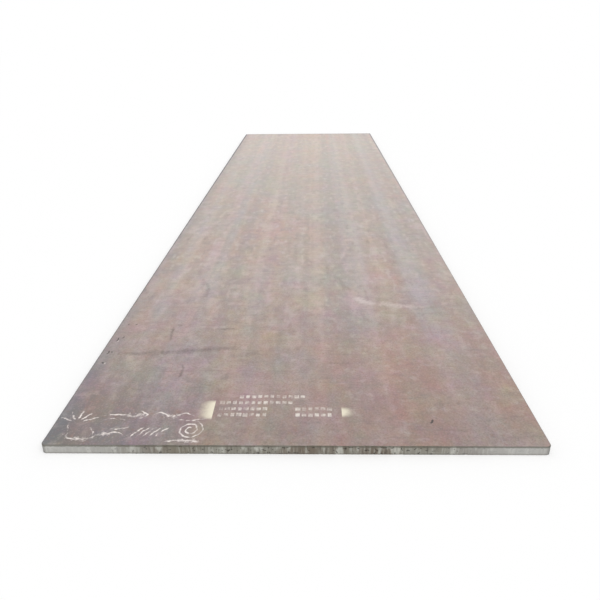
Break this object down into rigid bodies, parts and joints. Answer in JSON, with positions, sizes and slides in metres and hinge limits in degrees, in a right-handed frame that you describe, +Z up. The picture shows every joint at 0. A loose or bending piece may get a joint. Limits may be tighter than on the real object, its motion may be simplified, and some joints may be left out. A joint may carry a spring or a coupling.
{
  "type": "steel plate",
  "caption": "Flat rectangular heavy steel plate with torch-cut edges, rounded corners and mill-scale faces, raw stock for cutting, bending and welding.",
  "frame": {"origin": "centre of the underside, on the surface the plate lies on", "axes": "+X across the plate's width, +Y along its rolled length, +Z up through its thickness"},
  "size_m": [2, 8, 0.04],
  "materials": {
    "mill_scale_steel": "hot-rolled mill scale with a thin pinkish rust bloom, bare grey steel on the torch-cut edges"
  },
  "bodies": {
    "root": {"steel_plate": "mill_scale_steel"}
  },
  "joints": []
}
